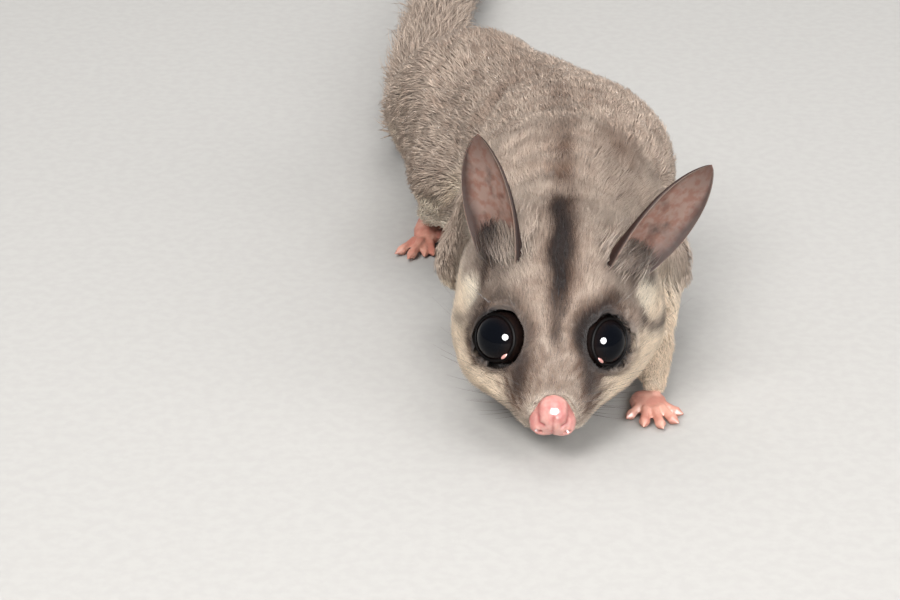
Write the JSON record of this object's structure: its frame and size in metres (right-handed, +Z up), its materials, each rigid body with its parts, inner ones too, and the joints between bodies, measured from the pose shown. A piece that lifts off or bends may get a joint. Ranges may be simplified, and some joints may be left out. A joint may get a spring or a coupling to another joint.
{
  "type": "sugar glider",
  "caption": "Still life-size model of a sugar glider crouched on all fours with its head held low, ears spread and a bushy tail laid back along the floor.",
  "frame": {"origin": "on the floor, under the middle of the bounding box", "axes": "+Z up, the animal faces -Y with its left side towards +X, and its tail runs back towards +Y"},
  "size_m": [0.058, 0.2934, 0.047],
  "materials": {
    "coat": "short dense grey-brown fur with dark stripe and eye rings",
    "pale_coat": "short cream fur of the folded gliding membrane",
    "tail_fur": "long soft grey fur, darker towards the tip",
    "ear_skin": "thin bare skin, pinkish brown",
    "nose_skin": "moist pink skin",
    "paw_skin": "bare pink skin with fine creases",
    "eye": "wet, nearly black"
  },
  "bodies": {
    "root": {"head": "coat", "nose": "nose_skin", "eye_left": "eye", "eye_right": "eye", "ear_left": "ear_skin", "ear_right": "ear_skin", "neck": "coat", "torso_front": "coat", "torso_rear": "coat", "tail_root": "coat", "tail_front": "tail_fur", "tail_middle": "tail_fur", "tail_tip": "tail_fur", "upper_arm_left": "coat", "upper_arm_right": "coat", "forearm_left": "coat", "forearm_right": "coat", "hand_left": "paw_skin", "hand_right": "paw_skin", "thigh_left": "coat", "thigh_right": "coat", "shank_left": "coat", "shank_right": "coat", "foot_left": "paw_skin", "foot_right": "paw_skin", "patagium_left": "pale_coat", "patagium_right": "pale_coat"}
  },
  "joints": []
}
